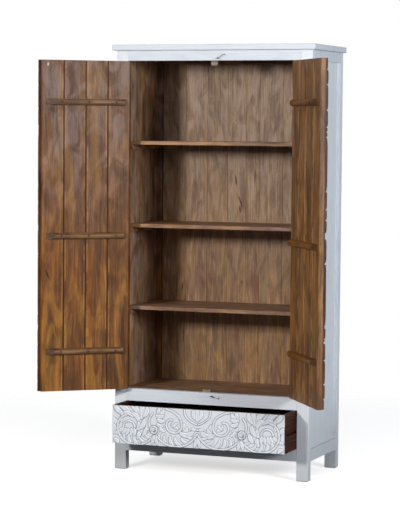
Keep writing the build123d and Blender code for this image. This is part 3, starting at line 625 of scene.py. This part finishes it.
# the crown in the heart, the flowers under the crossings and the leaf over the middle one
crownLeaves = (
    ((0, 250), 90, 44, 17, 0), ((12, 256), 60, 40, 9, 50),
    ((0, 176), 245, 38, 8, 18), ((0, 176), 295, 38, 8, -18),
    ((190, 176), 245, 38, 8, 18), ((190, 176), 295, 38, 8, -18), ((3, 208), 25, 26, 7, -35),
)
knobSeat = {"places": (-194, 194), "up": 200, "cutRadius": 20, "plateRadius": 17.5, "plate": -2.2,
            "ringRadius": 14.5, "ringHalf": 3.2, "ringRise": 3.8}


def carveDrawer(look):
    relief = newRelief(look)
    up, step = look["middle"], look["step"]

    def onBoard(point):
        return complex(point[0], point[1] - up)

    def layLeaves(leaves):
        # a leaf on the middle line has no twin
        for root, heading, length, half, curl in leaves:
            leaf(relief, onBoard(root), heading, length, half, curl, pair=root[0] > 0)

    stems = {name: smoothPath([(across, high - up) for across, high in points], step)
             for name, points in drawerStems.items()}
    layLeaves(drawerLeaves)
    for name, growth in drawerFronds:
        frond(relief, stems[name], **growth, pair=True)
    ring = [onBoard(drawerRing["middle"]) + cmath.rect(drawerRing["radius"], math.radians(angle))
            for angle in range(*drawerRing["sweep"])]
    stroke(relief, ring, drawerRing["half"], look["bandCrest"], drawerRing["hollow"], pair=True)
    layLeaves(ringLeaves)
    for stem in stems.values():
        stroke(relief, stem, look["bandHalf"], look["bandCrest"], look["bandHollow"], pair=True)
    layLeaves(voluteLeaves)
    heart = smoothPath([(across, high - up) for across, high in drawerHeart], step)
    stroke(relief, heart, look["heartHalf"], look["bandCrest"], look["heartHollow"], pair=True)
    layLeaves(crownLeaves)
    stroke(relief, [onBoard(look["dot"])], look["dotHalf"], look["leafCrest"])
    # a ringed seat for each knob
    level = relief["level"]
    for across in knobSeat["places"]:
        distance = np.hypot(relief["x"][None, :] - across, relief["z"][:, None] - (knobSeat["up"] - up))
        level[distance < knobSeat["cutRadius"]] = look["cut"]
        ring = np.sqrt(np.clip(1 - ((distance - knobSeat["ringRadius"]) / knobSeat["ringHalf"]) ** 2, 0, 1))
        seat = distance < knobSeat["plateRadius"]
        level[seat] = (knobSeat["plate"] + knobSeat["ringRise"] * ring)[seat]
    return relief


drawerWash = carvedWash("carvedWhitewashedMangoDrawer", drawerCarving["washed"])
faceMiddle = (0, drawerCarving["face"], drawerCarving["middle"] * mm)
facePlace = Matrix.Translation(faceMiddle) @ Matrix.Rotation(math.pi / 2, 4, "X")
drawerFace = reliefBoard("carvedDrawerFront", carveDrawer(drawerCarving), drawerCarving["back"], facePlace,
                         (drawerWash, wood["oiledMangoDrawer"]))
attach(drawerFace, "drawer")
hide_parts("drawer_front")
print("drawer front carved")


# Door panels: four spirals one above another in a sunk field, with leaves around them and half leaves
# along the meeting edge. Along the door from the hinge line and up from the ground, in mm.
doorCarving = {
    "height": 1381.5, "cell": 2.5, "face": 3.0, "back": 10.7, "bottom": 349.0, "clearance": 1.0,
    "reach": {"left": 389.0, "right": 371.0}, "border": 22.0, "endBorder": 44.0,
    "ground": -4.0, "cut": -5.2, "leafCut": -5.2, "moat": 3.2, "step": 4.0,
    "bandHalf": 7.5, "bandCrest": 2.9, "bandHollow": 0.35, "leafCrest": 2.2, "eye": 14.0,
    "count": 4, "middle": 190.5, "outer": 142.0, "inner": 52.0, "turns": 1.25, "start": -90.0,
    "outerFrond": {"lobes": 15, "length": 84, "half": 19, "lean": 26, "curl": 80, "start": 0.02, "end": 0.86},
    "innerFrond": {"lobes": 10, "length": 74, "half": 17, "lean": 30, "curl": 85, "start": 0.02, "end": 0.72},
    "petals": {"count": 8, "first": 20, "length": 42, "half": 12, "curl": 50},
    # between two spirals: turn from the corner, length, half width, and curl as a share of the turn
    "corners": (45, 135, 225, 315), "cornerInset": 8,
    "cornerLeaves": ((58, 104, 17, -1.2), (-58, 104, 17, -1.2),
                     (26, 98, 15, 1), (-26, 98, 15, 1), (0, 88, 14, 0)),
    # the half leaves that the meeting edge cuts, from and to
    "edge": ((394, 447), (452, 542), (548, 607), (633, 672), (676, 928), (931, 1019), (1050, 1098),
             (1102, 1137), (1141, 1208), (1212, 1417), (1464, 1523), (1531, 1626), (1631, 1681)),
    "edgeHalf": 15.0, "edgeTip": 0.04, "edgeSteps": 24, "edgeDrop": 2.5, "edgePower": 6,
    "edgeCrests": {"left": 0.4, "right": 2.9},
    # the ground and cut colours are painted shade down in the carving, with dust in the cuts too
    "washed": {**wash, "grain": "z", "ground": "#C6CAD2", "cut": "#4E4A47",
               "cutAt": -5.2, "groundAt": -4.1, "crestAt": 0.4},
}


def carveDoor(look):
    relief = newRelief(look)
    offset = look["clearance"] + look["width"] / 2
    across, up = look["middle"] - offset, look["bottom"] + look["height"] / 2
    spacing = look["height"] / look["count"]
    petals = look["petals"]
    for number in range(look["count"]):
        middle = complex(across, spacing * (number + 0.5) - look["height"] / 2)
        way = (-1) ** number
        coil = scrollPath(middle, look["outer"], look["inner"], look["start"], look["turns"] * way,
                          look["step"])
        for corner in look["corners"]:
            root = middle + cmath.rect(look["outer"] - look["cornerInset"], math.radians(corner))
            for turn, length, half, curl in look["cornerLeaves"]:
                leaf(relief, root, corner + turn, length, half, turn * curl)
        frond(relief, coil, -way, **look["outerFrond"])
        frond(relief, coil, way, **look["innerFrond"])
        for petal in range(petals["count"]):
            heading = 360 / petals["count"] * petal + petals["first"]
            leaf(relief, middle, heading, petals["length"], petals["half"], petals["curl"] * way)
        stroke(relief, coil, look["bandHalf"], look["bandCrest"], look["bandHollow"])
        stroke(relief, [middle], look["eye"], look["bandCrest"])
    # the plain border stands at the hinge side and at both ends
    x, z, level = relief["x"], relief["z"], relief["level"]
    level[:, x < look["border"] - offset] = 0.0
    level[np.abs(z) > look["height"] / 2 - look["endBorder"]] = 0.0

    def edgeWidth(way):
        return look["edgeHalf"] * math.sqrt(max(look["edgeTip"], 1 - (2 * way - 1) ** 2))

    def edgeCrest(way):
        return look["edgeCrest"] - look["edgeDrop"] * abs(2 * way - 1) ** look["edgePower"]

    steps = look["edgeSteps"]
    for low, high in look["edge"]:
        path = [complex(look["width"] / 2, low + (high - low) * part / steps - up)
                for part in range(steps + 1)]
        stroke(relief, path, edgeWidth, edgeCrest)
    return relief


for side, sign, body in (("left", -1, "door_left"), ("right", 1, "door_right")):
    width = doorCarving["reach"][side] - doorCarving["clearance"]
    relief = carveDoor({**doorCarving, "width": width, "edgeCrest": doorCarving["edgeCrests"][side]})
    washed = carvedWash("carvedWhitewashedMangoDoor" + side.capitalize(),
                        {**doorCarving["washed"], **onDoor[side]})
    # closed position: x along the door, face towards -Y, then turned about the hinge
    outward = -sign * (doorCarving["clearance"] + width / 2)
    upward = doorCarving["bottom"] + doorCarving["height"] / 2
    middle = Vector((outward * mm, doorCarving["face"] * mm, upward * mm))
    upright = Matrix.Rotation(math.pi / 2, 4, "X") @ Matrix.Scale(-sign, 4, (1, 0, 0))
    swung = Matrix.Translation(hingeLine[side]) @ Matrix.Rotation(openAngle[side], 4, "Z")
    panel = reliefBoard("carvedDoorPanel" + side.capitalize(), relief, doorCarving["back"],
                        swung @ Matrix.Translation(middle) @ upright, (washed, wood["oiledMangoEdge"]))
    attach(panel, body)
    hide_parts("carved_panel_" + side)
print("doors carved")


# in metres and watts
studio = {
    "floor": {"radius": 3.2, "segments": 96, "fadeFrom": 1.3, "fadeTo": 3.0, "colour": "#F2F2F2",
              "roughness": 0.95, "glow": 0.62},
    "sky": {"above": 0.31, "below": 0.07, "rise": (-0.25, 0.45), "tint": "#EEF1F8"},
    "target": (0, 0, 0.95),
    "lamps": {
        "keySoftbox": {"place": (-1.19, -4.9, 2.05), "size": 0.6, "power": 155.0, "colour": "#FFFBF5"},
        "frontSoftbox": {"place": (1.4, -5.6, 2.7), "size": 1.2, "power": 30.0, "colour": "#FFFDFA"},
        "sideSoftbox": {"place": (4.7, -2.75, 1.9), "size": 1.0, "power": 192.0, "colour": "#FAFFFF"},
    },
}


def softLamp(name, look):
    data = bpy.data.lights.new(name, "AREA")
    data.shape = "RECTANGLE"
    data.size = data.size_y = look["size"]
    data.energy = look["power"]
    data.color = linear(look["colour"])[:3]
    lamp = bpy.data.objects.new(name, data)
    lamp.location = look["place"]
    beam = Vector(studio["target"]) - Vector(look["place"])
    lamp.rotation_euler = beam.to_track_quat("-Z", "Y").to_euler()
    scene.collection.objects.link(lamp)


def paleFloor(look):
    # a round of pale floor that fades into the white around it
    bm = bmesh.new()
    bmesh.ops.create_circle(bm, cap_ends=True, segments=look["segments"], radius=look["radius"])
    mesh = bpy.data.meshes.new("studioFloor")
    bm.to_mesh(mesh)
    bm.free()
    material, tree, shader = newMaterial("palePaintedFloor", look["roughness"])
    shader.inputs["Base Color"].default_value = linear(look["colour"])
    shader.inputs["Emission Color"].default_value = linear("#FFFFFF")
    shader.inputs["Emission Strength"].default_value = look["glow"]
    place = addNode(tree, "TexCoord", {}).node.outputs["Object"]
    reach = addNode(tree, "VectorMath", measure, place)
    fade = addNode(tree, "MapRange", smooth, reach, look["fadeFrom"], look["fadeTo"], 1.0, 0.0)
    tree.links.new(fade, shader.inputs["Alpha"])
    mesh.materials.append(material)
    floor = bpy.data.objects.new("studioFloor", mesh)
    # the floor takes shadows but sends no light back up
    floor.visible_diffuse = False
    scene.collection.objects.link(floor)


def sky(look):
    # white where the camera looks past the cabinet, and a softer light from all round, mostly from above
    world = bpy.data.worlds.new("studioSky")
    scene.world = world
    world.use_nodes = True
    tree = world.node_tree
    seen = addNode(tree, "LightPath", {})
    way = addNode(tree, "SeparateXYZ", {}, addNode(tree, "TexCoord", {})).node.outputs["Z"]
    strength = addNode(tree, "MapRange", smooth, way, *look["rise"], look["below"], look["above"])
    strength = addNode(tree, "Mix", {"data_type": "FLOAT"}, seen, strength, 1.0)
    colour = addNode(tree, "Mix", blend, seen, look["tint"], "#FFFFFF")
    background = tree.nodes["Background"]
    tree.links.new(colour, background.inputs["Color"])
    tree.links.new(strength, background.inputs["Strength"])


paleFloor(studio["floor"])
sky(studio["sky"])
for name, look in studio["lamps"].items():
    softLamp(name, look)
scene.view_settings.view_transform = "Standard"

# the camera stands 8.8 m from the cabinet's middle, right of the front, at chest height
lens = {"place": (3.0271, -8.2146, 1.4539), "yaw": 0.36710790, "pitch": -0.06243103, "roll": 0.00832134,
        "length": 144.44, "sensor": 36, "farthest": 100}


def placeCamera(look):
    yaw, pitch, roll = look["yaw"], look["pitch"], look["roll"]
    forward = Vector((-math.sin(yaw) * math.cos(pitch), math.cos(yaw) * math.cos(pitch), math.sin(pitch)))
    level = Vector((math.cos(yaw), math.sin(yaw), 0))
    above = level.cross(forward)
    right = math.cos(roll) * level + math.sin(roll) * above
    up = math.cos(roll) * above - math.sin(roll) * level
    data = bpy.data.cameras.new("camera")
    data.lens = look["length"]
    data.sensor_width = look["sensor"]
    data.clip_end = look["farthest"]
    camera = bpy.data.objects.new("camera", data)
    aim = Matrix((right, up, -forward)).transposed().to_4x4()
    camera.matrix_world = Matrix.Translation(look["place"]) @ aim
    scene.collection.objects.link(camera)
    scene.camera = camera


placeCamera(lens)
print("studio ready")
